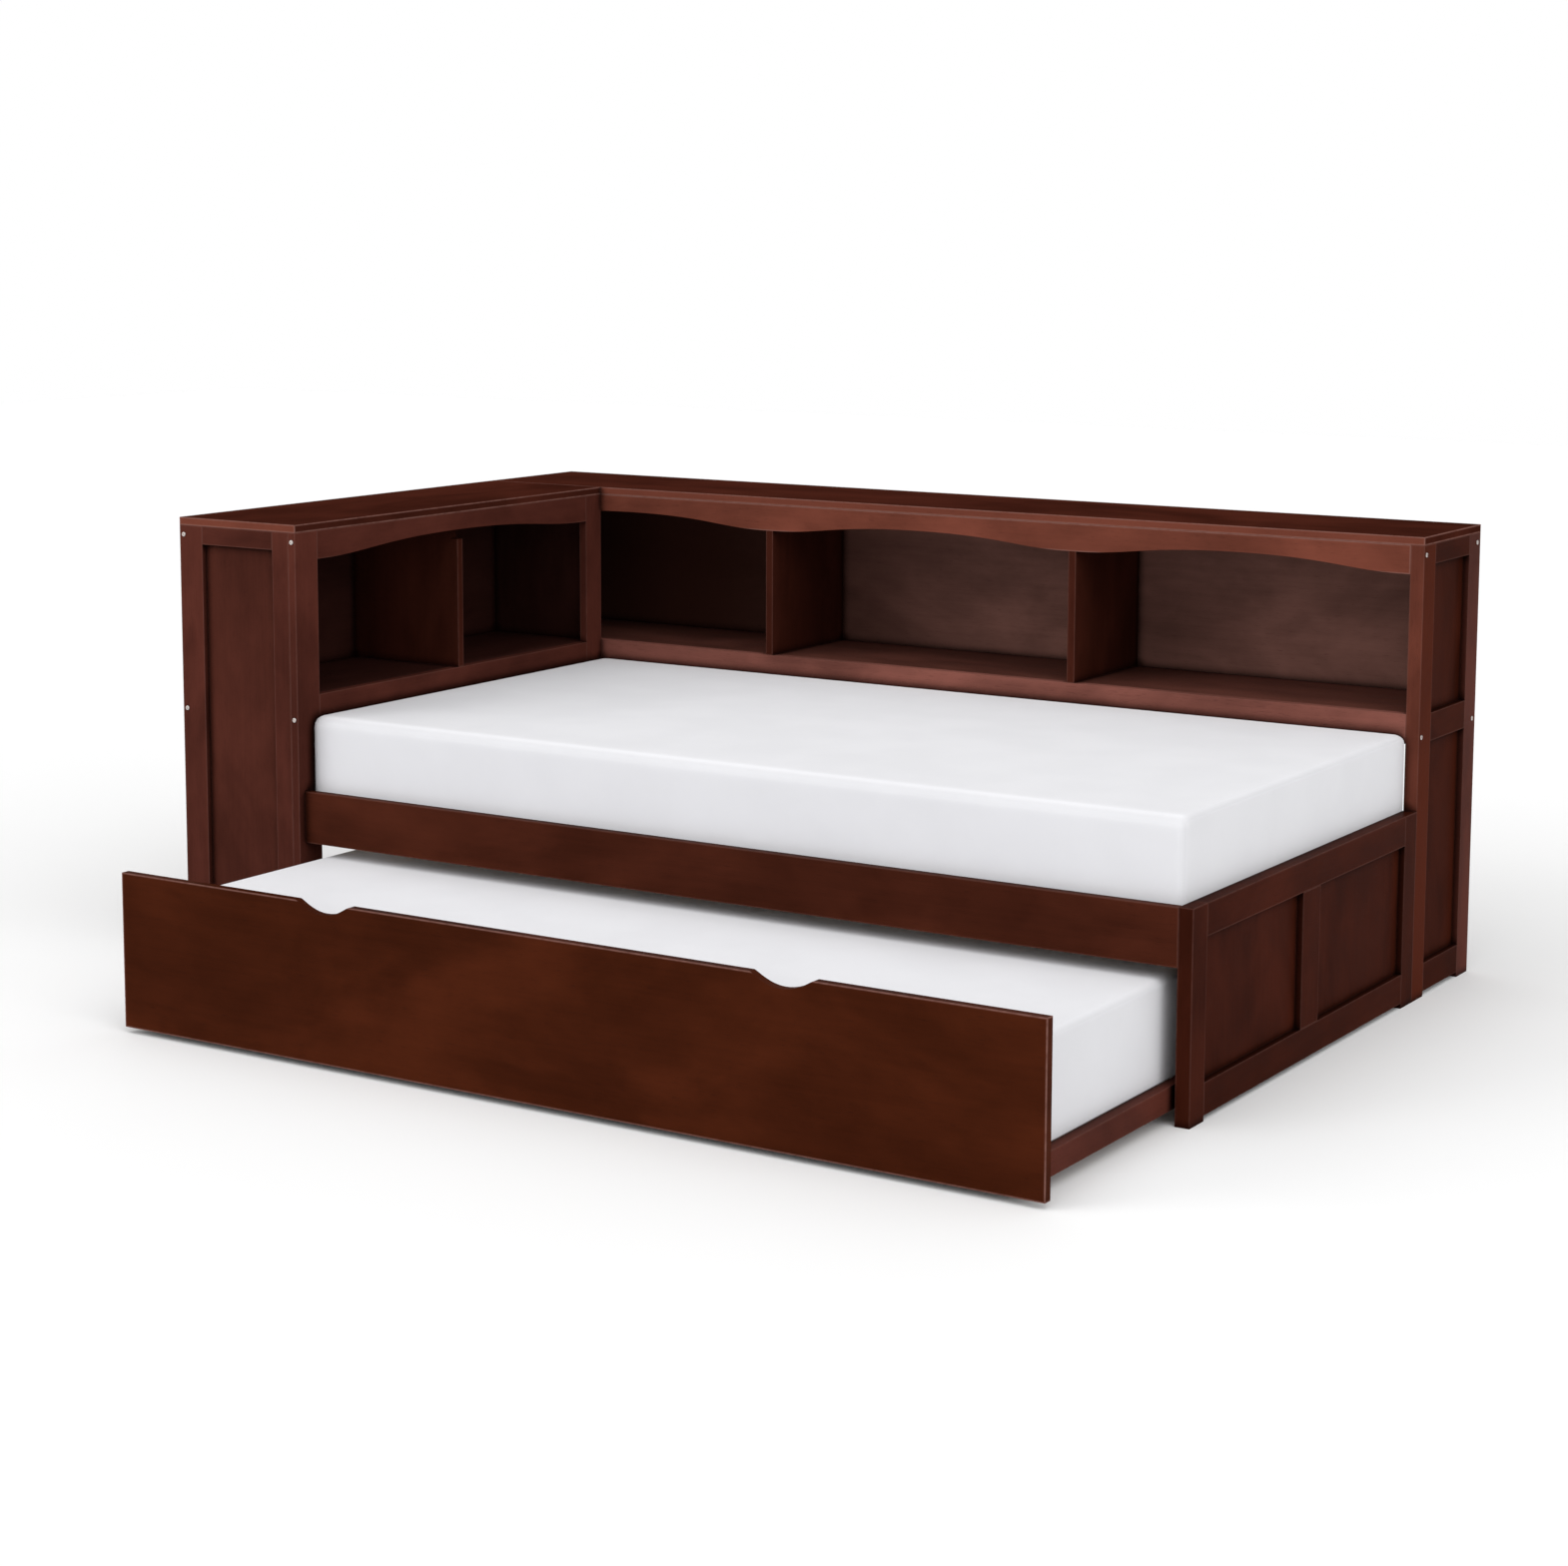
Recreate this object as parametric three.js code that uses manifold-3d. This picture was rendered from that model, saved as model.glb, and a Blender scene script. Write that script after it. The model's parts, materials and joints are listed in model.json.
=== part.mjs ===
// Trundle bed: a twin bed in the corner of two bookcases, with a second bed on casters under it.
// Millimetres, +Z up, +Y towards the wall behind the bed, +X towards the footboard.
// Inside the nested groups, x runs from the left outer face, y from the front face of the bed's
// front rail, and z from the floor. The outer group moves the origin to the middle of the base.

import * as THREE from 'three';
import { mergeVertices } from 'three/addons/utils/BufferGeometryUtils.js';
import Module from 'manifold-3d';

const wasm = await Module();
wasm.setup();

// Overall size
const LENGTH = 2254;
const DEPTH = 1322;
const HEIGHT = 916;
const GAP = 0.3;
const HALF_GAP = GAP / 2;
const JOIN_OVERLAP = 1;

// Boards shared by both bookcases
const BOOKCASE_DEPTH = 306;
const TOP_THICKNESS = 16;
const CASE_TOP = HEIGHT - TOP_THICKNESS;
const FRAME_THICKNESS = 28;
const POST_WIDTH = 60;
const SHELF_TOP = 570;
const SHELF_THICKNESS = 17;
const LOWER_RAIL_BOTTOM = 511;
const DIVIDER_THICKNESS = 17;
const BACKING_THICKNESS = 6;
const PANEL_THICKNESS = 8;
const PANEL_RECESS = 12;
const RAIL_LIFT = 10;
const BOTTOM_RAIL_TOP = 67;

// Arched valances
const ARCH_LOW = 843;
const ARCH_RISE = 21;
const ARCH_SHOULDER = 12;
const ARCH_START_PULL = 0.16;
const ARCH_CROWN_PULL = 0.28;
const CURVE_STEPS = 14;

// Back bookcase
const BACK_FRONT = DEPTH - BOOKCASE_DEPTH;
const BACK_FACE_THICKNESS = 20;
const BACK_BAYS = 3;
const BACK_PANEL_FRONT = DEPTH - 10;
const MIDDLE_RAIL_TOP = 567;
const END_TOP_RAIL_BOTTOM = 860;

// Side bookcase
const SIDE_FRONT = -17;
const SIDE_FACE_THICKNESS = 18;
const SIDE_STILE_END = 50;
const SIDE_REAR_STILE_START = 960;
const SIDE_INNER_POST_WIDTH = 42;
const SIDE_TOP_RAIL_BOTTOM = 863;
const SIDE_DIVIDER_START = 498;
const SIDE_REAR_BOARD_THICKNESS = 18;

// Footboard
const FOOT_THICKNESS = 28;
const FOOT_TOP = 380;
const FOOT_POST_WIDTH = 57;
const FOOT_RAIL_HEIGHT = 58;
const FOOT_STILE_START = 467;
const FOOT_STILE_END = 545;

// Bed rails, slats and mattress
const RAIL_THICKNESS = 18;
const RAIL_BOTTOM = 275;
const RAIL_TOP = 379;
const CLEAT_WIDTH = 24;
const CLEAT_BOTTOM = 290;
const REAR_RAIL_BOTTOM = 250;
const REAR_RAIL_THICKNESS = 24;
const SLAT_BOTTOM = 315;
const SLAT_THICKNESS = 15;
const SLAT_WIDTH = 70;
const SLAT_COUNT = 14;
const STRAP_WIDTH = 25;
const STRAP_THICKNESS = 2;
const STRAP_PLACE = 0.25;
const SLAT_END_CLEARANCE = 9;
const MATTRESS_LENGTH = 1914;
const MATTRESS_WIDTH = 990;
const MATTRESS_HEIGHT = 203;
const MATTRESS_SIDE_CLEARANCE = 3;
const MATTRESS_FRONT_CLEARANCE = 1;

// Trundle, with y measured in its closed place
const PULLED_OUT = 500;
const FRONT_THICKNESS = 18;
const FRONT_BOTTOM = 12;
const FRONT_TOP = 307;
const FRONT_CLEARANCE = 0.5;
const FRONT_SIDE_CLEARANCE = 2;
const SCOOP_WIDTH = 126;
const SCOOP_DEPTH = 21;
const SCOOP_PLACES = [0.75, 0.25];
const SCOOP_TOP_PULL = 0.9;
const SCOOP_BOTTOM_PULL = 0.55;
const TRAY_CLEARANCE = 9;
const TRAY_BACK = 975;
const TRAY_BOARD = 22;
const TRAY_BOTTOM = 26;
const TRAY_TOP = 69;
const TRAY_SLAT_THICKNESS = 12;
const TRAY_SLAT_COUNT = 12;
const TRAY_LEDGE_WIDTH = 20;
const TRAY_SLAT_INSET = 30;
const TRUNDLE_MATTRESS_LENGTH = 1852;
const TRUNDLE_MATTRESS_WIDTH = 940;
const TRUNDLE_MATTRESS_HEIGHT = 183;

// Casters
const WHEEL_RADIUS = 25;
const WHEEL_WIDTH = 20;
const WHEEL_BORE = 4.6;
const WHEEL_HUB = 11;
const WHEEL_HUB_FLARE = 2;
const WHEEL_DISH = 4;
const WHEEL_RIM = 6;
const WHEEL_SHOULDER = 4;
const WHEEL_CORNER = 1;
const WHEEL_SIDES = 28;
const AXLE_RADIUS = 4;
const AXLE_HEAD_RADIUS = 7;
const AXLE_HEAD_THICKNESS = 3;
const AXLE_SIDES = 20;
const PLATE_THICKNESS = 3;
const PLATE_LENGTH = 44;
const PLATE_BOTTOM = 15;
const PLATE_TOP = 54;
const WHEEL_SIDE_PLAY = 1.5;
const CASTER_FRONT = 90;
const CASTER_BACK = 860;

// Edges that several pieces share
const SIDE_FACE = BOOKCASE_DEPTH;
const SIDE_FACE_BACK = SIDE_FACE - SIDE_FACE_THICKNESS;
const FOOT_FACE = LENGTH - FOOT_THICKNESS;
const TRAY_LEFT = SIDE_FACE + TRAY_CLEARANCE;
const TRAY_RIGHT = FOOT_FACE - TRAY_CLEARANCE;
const PANEL_FRONT_Y = -FRONT_CLEARANCE - FRONT_THICKNESS;
const PANEL_BACK_Y = -FRONT_CLEARANCE;

// Materials
function lacqueredWood(color) {
  return new THREE.MeshStandardMaterial({ color, roughness: 0.42, metalness: 0 });
}

const caseWood = lacqueredWood(0x4a221b);
const panelWood = lacqueredWood(0x431e18);
const frontWood = lacqueredWood(0x441f17);
const backingWood = lacqueredWood(0x3a1b16);
const slatWood = new THREE.MeshStandardMaterial({ color: 0xc9a878, roughness: 0.7, metalness: 0 });
const ticking = new THREE.MeshStandardMaterial({ color: 0xe6e6ea, roughness: 0.9, metalness: 0 });
const zincSteel = new THREE.MeshStandardMaterial({ color: 0x9a9da1, roughness: 0.4, metalness: 0.9 });
const wheelPlastic = new THREE.MeshStandardMaterial({ color: 0x1d1d1f, roughness: 0.5, metalness: 0 });

// A board that fills the given spans, less half a gap on each side that isn't on the floor.
function board(name, material, xSpan, ySpan, zSpan) {
  const low = [xSpan[0], ySpan[0], zSpan[0]].map((value) => value + HALF_GAP);
  const high = [xSpan[1], ySpan[1], zSpan[1]].map((value) => value - HALF_GAP);
  if (zSpan[0] === 0) {
    low[2] = 0;
  }
  const size = high.map((value, axis) => value - low[axis]);
  const mesh = new THREE.Mesh(new THREE.BoxGeometry(...size), material);
  mesh.name = name;
  mesh.position.set(...high.map((value, axis) => (value + low[axis]) / 2));
  return mesh;
}

// A section made as thick as its span, less a gap.
function extruded(shape, span) {
  const depth = span[1] - span[0] - GAP;
  return new THREE.ExtrudeGeometry(shape, {
    depth,
    bevelEnabled: false,
    curveSegments: CURVE_STEPS,
  });
}

// A section drawn in x and z, made as thick as its y span.
function extrudeAlongY(shape, ySpan) {
  const geometry = extruded(shape, ySpan);
  geometry.rotateX(Math.PI / 2);
  geometry.translate(0, ySpan[1] - HALF_GAP, 0);
  return geometry;
}

// A section drawn in y and z, made as long as its x span.
function extrudeAlongX(shape, xSpan) {
  const geometry = extruded(shape, xSpan);
  const turn = new THREE.Matrix4().makeBasis(
    new THREE.Vector3(0, 1, 0),
    new THREE.Vector3(0, 0, 1),
    new THREE.Vector3(1, 0, 0),
  );
  geometry.applyMatrix4(turn);
  geometry.translate(xSpan[0] + HALF_GAP, 0, 0);
  return geometry;
}

function polygon(points) {
  return new THREE.Shape(points.map(([u, v]) => new THREE.Vector2(u, v)));
}

function namedMesh(name, geometry, material) {
  const mesh = new THREE.Mesh(geometry, material);
  mesh.name = name;
  return mesh;
}

function toSolid(geometry) {
  const bare = geometry.clone();
  bare.deleteAttribute('normal');
  bare.deleteAttribute('uv');
  const merged = mergeVertices(bare);
  const vertProperties = new Float32Array(merged.attributes.position.array);
  const triVerts = new Uint32Array(merged.index.array);
  return new wasm.Manifold(new wasm.Mesh({ numProp: 3, vertProperties, triVerts }));
}

function join(geometries) {
  const solids = geometries.map(toSolid);
  const whole = solids.reduce((sum, solid) => sum.add(solid));
  const { vertProperties, triVerts } = whole.getMesh();
  const geometry = new THREE.BufferGeometry();
  geometry.setAttribute('position', new THREE.BufferAttribute(vertProperties, 3));
  geometry.setIndex(new THREE.BufferAttribute(triVerts, 1));
  geometry.computeVertexNormals();
  return geometry;
}

function box(xSpan, ySpan, zSpan) {
  const spans = [xSpan, ySpan, zSpan];
  const geometry = new THREE.BoxGeometry(...spans.map(([low, high]) => high - low));
  geometry.translate(...spans.map(([low, high]) => (low + high) / 2));
  return geometry;
}

// The section of a valance: straight along the top, and one flat-shouldered arch over each bay.
function valanceShape(bays) {
  const start = bays[0][0] + HALF_GAP;
  const end = bays[bays.length - 1][1] - HALF_GAP;
  const shape = new THREE.Shape();
  shape.moveTo(end, CASE_TOP - HALF_GAP);
  shape.lineTo(start, CASE_TOP - HALF_GAP);
  shape.lineTo(start, ARCH_LOW);
  for (const [left, right] of bays) {
    const span = right - left;
    const middle = (left + right) / 2;
    const crown = ARCH_LOW + ARCH_RISE;
    const springLeft = left + ARCH_SHOULDER;
    const springRight = right - ARCH_SHOULDER;
    shape.lineTo(springLeft, ARCH_LOW);
    shape.bezierCurveTo(
      springLeft + span * ARCH_START_PULL, ARCH_LOW,
      middle - span * ARCH_CROWN_PULL, crown,
      middle, crown,
    );
    shape.bezierCurveTo(
      middle + span * ARCH_CROWN_PULL, crown,
      springRight - span * ARCH_START_PULL, ARCH_LOW,
      springRight, ARCH_LOW,
    );
  }
  shape.lineTo(end, ARCH_LOW);
  shape.closePath();
  return shape;
}

// A divider's side outline: full height, with its front top corner notched around the valance.
function dividerShape(front, valanceBack, rear) {
  const towardsRear = Math.sign(rear - front);
  const frontEdge = front + towardsRear * HALF_GAP;
  const notchEdge = valanceBack + towardsRear * HALF_GAP;
  const rearEdge = rear - towardsRear * HALF_GAP;
  const bottom = SHELF_TOP + HALF_GAP;
  const top = CASE_TOP - HALF_GAP;
  return polygon([
    [frontEdge, bottom],
    [rearEdge, bottom],
    [rearEdge, top],
    [notchEdge, top],
    [notchEdge, ARCH_LOW - GAP],
    [frontEdge, ARCH_LOW - GAP],
  ]);
}

// One panelled end of the back bookcase: two posts, three rails and two recessed panels.
function bookcaseEnd(side, outerX, innerX) {
  const xSpan = [Math.min(outerX, innerX), Math.max(outerX, innerX)];
  const inward = Math.sign(innerX - outerX);
  const panelOuter = outerX + inward * PANEL_RECESS;
  const panelInner = panelOuter + inward * PANEL_THICKNESS;
  const panelSpan = [Math.min(panelOuter, panelInner), Math.max(panelOuter, panelInner)];
  const between = [BACK_FRONT + POST_WIDTH, DEPTH - POST_WIDTH];
  const upper = [MIDDLE_RAIL_TOP, END_TOP_RAIL_BOTTOM];
  const lower = [BOTTOM_RAIL_TOP, LOWER_RAIL_BOTTOM];
  const end = new THREE.Group();
  end.add(
    board(`${side}_end_front_post`, caseWood, xSpan, [BACK_FRONT, between[0]], [0, CASE_TOP]),
    board(`${side}_end_rear_post`, caseWood, xSpan, [between[1], DEPTH], [0, CASE_TOP]),
    board(`${side}_end_top_rail`, caseWood, xSpan, between, [END_TOP_RAIL_BOTTOM, CASE_TOP]),
    board(`${side}_end_middle_rail`, caseWood, xSpan, between, [LOWER_RAIL_BOTTOM, MIDDLE_RAIL_TOP]),
    board(`${side}_end_bottom_rail`, caseWood, xSpan, between, [RAIL_LIFT, BOTTOM_RAIL_TOP]),
    board(`${side}_end_upper_panel`, panelWood, panelSpan, between, upper),
    board(`${side}_end_lower_panel`, panelWood, panelSpan, between, lower),
  );
  return end;
}

function backBookcase() {
  const inside = [FRAME_THICKNESS, LENGTH - FRAME_THICKNESS];
  const face = [BACK_FRONT, BACK_FRONT + BACK_FACE_THICKNESS];
  const bayPitch = (inside[1] - inside[0] + DIVIDER_THICKNESS) / BACK_BAYS;
  const bayWidth = bayPitch - DIVIDER_THICKNESS;
  const bayStarts = Array.from({ length: BACK_BAYS }, (_, bay) => inside[0] + bay * bayPitch);
  const halfDivider = DIVIDER_THICKNESS / 2;
  const shelfDepth = [face[1], BACK_PANEL_FRONT];
  const shelfSpan = [SHELF_TOP - SHELF_THICKNESS, SHELF_TOP];
  const arches = bayStarts.map((start, bay) => [
    bay === 0 ? start : start - halfDivider,
    bay === BACK_BAYS - 1 ? inside[1] : start + bayWidth + halfDivider,
  ]);
  const bookcase = new THREE.Group();
  bookcase.add(
    board('back_top_board', caseWood, [0, LENGTH], [BACK_FRONT, DEPTH], [CASE_TOP, HEIGHT]),
    namedMesh('back_valance', extrudeAlongY(valanceShape(arches), face), caseWood),
    board('back_lower_rail', caseWood, inside, face, [LOWER_RAIL_BOTTOM, SHELF_TOP]),
    board('back_shelf', caseWood, inside, shelfDepth, shelfSpan),
    board(
      'back_panel', backingWood, inside,
      [BACK_PANEL_FRONT, BACK_PANEL_FRONT + BACKING_THICKNESS], [LOWER_RAIL_BOTTOM, CASE_TOP],
    ),
  );
  ['left', 'right'].forEach((side, index) => {
    const start = bayStarts[index] + bayWidth;
    const outline = dividerShape(face[0], face[1], BACK_PANEL_FRONT);
    const geometry = extrudeAlongX(outline, [start, start + DIVIDER_THICKNESS]);
    bookcase.add(namedMesh(`back_${side}_divider`, geometry, caseWood));
  });
  bookcase.add(bookcaseEnd('left', 0, FRAME_THICKNESS));
  bookcase.add(bookcaseEnd('right', LENGTH, LENGTH - FRAME_THICKNESS));
  return bookcase;
}

// The panelled front end of the side bookcase: two posts, two rails and one tall panel.
function sideFrontEnd() {
  const ySpan = [SIDE_FRONT, SIDE_FRONT + FRAME_THICKNESS];
  const between = [POST_WIDTH, SIDE_FACE_BACK - SIDE_INNER_POST_WIDTH];
  const panelSpan = [SIDE_FRONT + PANEL_RECESS, SIDE_FRONT + PANEL_RECESS + PANEL_THICKNESS];
  const end = new THREE.Group();
  end.add(
    board('side_outer_post', caseWood, [0, POST_WIDTH], ySpan, [0, CASE_TOP]),
    board('side_inner_post', caseWood, [between[1], SIDE_FACE_BACK], ySpan, [0, CASE_TOP]),
    board('side_front_top_rail', caseWood, between, ySpan, [SIDE_TOP_RAIL_BOTTOM, CASE_TOP]),
    board('side_front_bottom_rail', caseWood, between, ySpan, [RAIL_LIFT, BOTTOM_RAIL_TOP]),
    board('side_front_panel', panelWood, between, panelSpan, [BOTTOM_RAIL_TOP, SIDE_TOP_RAIL_BOTTOM]),
  );
  return end;
}

// The hidden rear end of the side bookcase: one board with a leg down its outer side.
function sideRearEnd() {
  const left = HALF_GAP;
  const right = SIDE_FACE_BACK - HALF_GAP;
  const top = CASE_TOP - HALF_GAP;
  const outline = polygon([
    [left, 0],
    [POST_WIDTH, 0],
    [POST_WIDTH, LOWER_RAIL_BOTTOM],
    [right, LOWER_RAIL_BOTTOM],
    [right, top],
    [left, top],
  ]);
  const geometry = extrudeAlongY(outline, [BACK_FRONT - SIDE_REAR_BOARD_THICKNESS, BACK_FRONT]);
  return namedMesh('side_rear_end', geometry, caseWood);
}

function sideBookcase() {
  const face = [SIDE_FACE_BACK, SIDE_FACE];
  const inside = [SIDE_FRONT + FRAME_THICKNESS, BACK_FRONT - SIDE_REAR_BOARD_THICKNESS];
  const opening = [SIDE_STILE_END, SIDE_REAR_STILE_START];
  const backing = [PANEL_RECESS, PANEL_RECESS + BACKING_THICKNESS];
  const shelfSpan = [SHELF_TOP - SHELF_THICKNESS, SHELF_TOP];
  const dividerGeometry = extrudeAlongY(
    dividerShape(SIDE_FACE, SIDE_FACE_BACK, backing[1]),
    [SIDE_DIVIDER_START, SIDE_DIVIDER_START + DIVIDER_THICKNESS],
  );
  const bookcase = new THREE.Group();
  bookcase.add(
    board('side_top_board', caseWood, [0, SIDE_FACE], [SIDE_FRONT, BACK_FRONT], [CASE_TOP, HEIGHT]),
    board('side_front_stile', caseWood, face, [SIDE_FRONT, opening[0]], [0, CASE_TOP]),
    board('side_rear_stile', caseWood, face, [opening[1], BACK_FRONT], [0, CASE_TOP]),
    namedMesh('side_valance', extrudeAlongX(valanceShape([opening]), face), caseWood),
    board('side_lower_rail', caseWood, face, opening, [LOWER_RAIL_BOTTOM, SHELF_TOP]),
    board('side_shelf', caseWood, [backing[1], SIDE_FACE_BACK], inside, shelfSpan),
    namedMesh('side_divider', dividerGeometry, caseWood),
    board('side_outer_panel', backingWood, backing, inside, [LOWER_RAIL_BOTTOM, CASE_TOP]),
    sideFrontEnd(),
    sideRearEnd(),
  );
  return bookcase;
}

function footboard() {
  const xSpan = [FOOT_FACE, LENGTH];
  const panelX = LENGTH - PANEL_RECESS;
  const panelSpan = [panelX - PANEL_THICKNESS, panelX];
  const between = [FOOT_POST_WIDTH, BACK_FRONT - FOOT_POST_WIDTH];
  const topRail = [FOOT_TOP - FOOT_RAIL_HEIGHT, FOOT_TOP];
  const bottomRail = [RAIL_LIFT, RAIL_LIFT + FOOT_RAIL_HEIGHT];
  const field = [bottomRail[1], topRail[0]];
  const group = new THREE.Group();
  group.add(
    board('footboard_front_post', caseWood, xSpan, [0, between[0]], [0, FOOT_TOP]),
    board('footboard_rear_post', caseWood, xSpan, [between[1], BACK_FRONT], [0, FOOT_TOP]),
    board('footboard_top_rail', caseWood, xSpan, between, topRail),
    board('footboard_bottom_rail', caseWood, xSpan, between, bottomRail),
    board('footboard_middle_stile', caseWood, xSpan, [FOOT_STILE_START, FOOT_STILE_END], field),
    board('footboard_front_panel', panelWood, panelSpan, [between[0], FOOT_STILE_START], field),
    board('footboard_rear_panel', panelWood, panelSpan, [FOOT_STILE_END, between[1]], field),
  );
  return group;
}

// Slats side by side along x, held together by two straps under them.
function slatMat(xSpan, ySpan, bottom, thickness, count) {
  const pitch = (xSpan[1] - xSpan[0] - SLAT_WIDTH) / (count - 1);
  const top = bottom + thickness - HALF_GAP;
  const slats = Array.from({ length: count }, (_, index) => {
    const left = xSpan[0] + index * pitch;
    return box([left, left + SLAT_WIDTH], ySpan, [bottom + HALF_GAP, top]);
  });
  const strapInset = (ySpan[1] - ySpan[0]) * STRAP_PLACE;
  const strapSpan = [bottom - STRAP_THICKNESS / 2, bottom + STRAP_THICKNESS / 2];
  const straps = [ySpan[0] + strapInset, ySpan[1] - strapInset - STRAP_WIDTH].map((start) => (
    box([xSpan[0] + HALF_GAP, xSpan[1] - HALF_GAP], [start, start + STRAP_WIDTH], strapSpan)
  ));
  return join([...slats, ...straps]);
}

function bedDeck() {
  const between = [SIDE_FACE, FOOT_FACE];
  const back = RAIL_THICKNESS - HALF_GAP;
  const cleatBack = RAIL_THICKNESS + CLEAT_WIDTH;
  const frontRailShape = polygon([
    [HALF_GAP, RAIL_BOTTOM],
    [back, RAIL_BOTTOM],
    [back, CLEAT_BOTTOM],
    [cleatBack, CLEAT_BOTTOM],
    [cleatBack, SLAT_BOTTOM - HALF_GAP],
    [back, SLAT_BOTTOM - HALF_GAP],
    [back, RAIL_TOP],
    [HALF_GAP, RAIL_TOP],
  ]);
  const slatSpan = [between[0] + SLAT_END_CLEARANCE, between[1] - SLAT_END_CLEARANCE];
  const slats = slatMat(
    slatSpan, [RAIL_THICKNESS + GAP, BACK_FRONT - HALF_GAP], SLAT_BOTTOM, SLAT_THICKNESS, SLAT_COUNT,
  );
  const mattressBottom = SLAT_BOTTOM + SLAT_THICKNESS;
  const mattressLeft = between[0] + MATTRESS_SIDE_CLEARANCE;
  const mattressFront = RAIL_THICKNESS + MATTRESS_FRONT_CLEARANCE;
  const deck = new THREE.Group();
  deck.add(
    namedMesh('front_rail', extrudeAlongX(frontRailShape, between), caseWood),
    board(
      'rear_rail', caseWood, between,
      [BACK_FRONT - REAR_RAIL_THICKNESS, BACK_FRONT], [REAR_RAIL_BOTTOM, SLAT_BOTTOM],
    ),
    namedMesh('bed_slats', slats, slatWood),
    board(
      'mattress', ticking,
      [mattressLeft, mattressLeft + MATTRESS_LENGTH],
      [mattressFront, mattressFront + MATTRESS_WIDTH],
      [mattressBottom, mattressBottom + MATTRESS_HEIGHT],
    ),
  );
  return deck;
}

// The trundle's front board: a finger scoop a quarter of the way in from each end, and a slat
// ledge along its back.
function trundleFront() {
  const left = SIDE_FACE + FRONT_SIDE_CLEARANCE;
  const right = LENGTH - FRONT_SIDE_CLEARANCE;
  const shoulder = SCOOP_WIDTH / 2;
  const scoopBottom = FRONT_TOP - SCOOP_DEPTH;
  const outline = new THREE.Shape();
  outline.moveTo(right, FRONT_BOTTOM);
  outline.lineTo(right, FRONT_TOP);
  for (const place of SCOOP_PLACES) {
    const centre = left + (right - left) * place;
    outline.lineTo(centre + shoulder, FRONT_TOP);
    outline.bezierCurveTo(
      centre + shoulder * SCOOP_TOP_PULL, FRONT_TOP,
      centre + shoulder * SCOOP_BOTTOM_PULL, scoopBottom,
      centre, scoopBottom,
    );
    outline.bezierCurveTo(
      centre - shoulder * SCOOP_BOTTOM_PULL, scoopBottom,
      centre - shoulder * SCOOP_TOP_PULL, FRONT_TOP,
      centre - shoulder, FRONT_TOP,
    );
  }
  outline.lineTo(left, FRONT_TOP);
  outline.lineTo(left, FRONT_BOTTOM);
  outline.closePath();
  const panel = extrudeAlongY(outline, [PANEL_FRONT_Y, PANEL_BACK_Y]);
  const ledgeTop = TRAY_TOP - TRAY_SLAT_THICKNESS - HALF_GAP;
  const ledge = box(
    [TRAY_LEFT + TRAY_BOARD + GAP, TRAY_RIGHT - TRAY_BOARD - GAP],
    [PANEL_BACK_Y - JOIN_OVERLAP, PANEL_BACK_Y + TRAY_LEDGE_WIDTH],
    [ledgeTop - TRAY_LEDGE_WIDTH, ledgeTop],
  );
  return namedMesh('trundle_front', join([panel, ledge]), frontWood);
}

function trundleRearRail() {
  const ledgeTop = TRAY_TOP - TRAY_SLAT_THICKNESS - HALF_GAP;
  const railFront = TRAY_BACK - TRAY_BOARD;
  const outline = polygon([
    [TRAY_BACK, TRAY_BOTTOM],
    [TRAY_BACK, TRAY_TOP],
    [railFront, TRAY_TOP],
    [railFront, ledgeTop],
    [railFront - TRAY_LEDGE_WIDTH, ledgeTop],
    [railFront - TRAY_LEDGE_WIDTH, ledgeTop - TRAY_LEDGE_WIDTH],
    [railFront, ledgeTop - TRAY_LEDGE_WIDTH],
    [railFront, TRAY_BOTTOM],
  ]);
  const xSpan = [TRAY_LEFT + TRAY_BOARD, TRAY_RIGHT - TRAY_BOARD];
  return namedMesh('trundle_rear_rail', extrudeAlongX(outline, xSpan), caseWood);
}

// A wheel that turns about x, dished between its hub and its tread.
function wheelGeometry() {
  const half = WHEEL_WIDTH / 2;
  const dished = half - WHEEL_DISH;
  const inner = [
    [WHEEL_BORE, -half],
    [WHEEL_HUB, -half],
    [WHEEL_HUB + WHEEL_HUB_FLARE, -dished],
    [WHEEL_RADIUS - WHEEL_RIM, -dished],
    [WHEEL_RADIUS - WHEEL_SHOULDER, -half],
    [WHEEL_RADIUS - WHEEL_CORNER, WHEEL_CORNER - half],
    [WHEEL_RADIUS, WHEEL_SHOULDER - half],
  ];
  const outer = inner.map(([radius, along]) => [radius, -along]).reverse();
  const profile = [...inner, ...outer, inner[0]].map(([radius, along]) => (
    new THREE.Vector2(radius, along)
  ));
  const geometry = new THREE.LatheGeometry(profile, WHEEL_SIDES);
  geometry.rotateZ(Math.PI / 2);
  return geometry;
}

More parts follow.
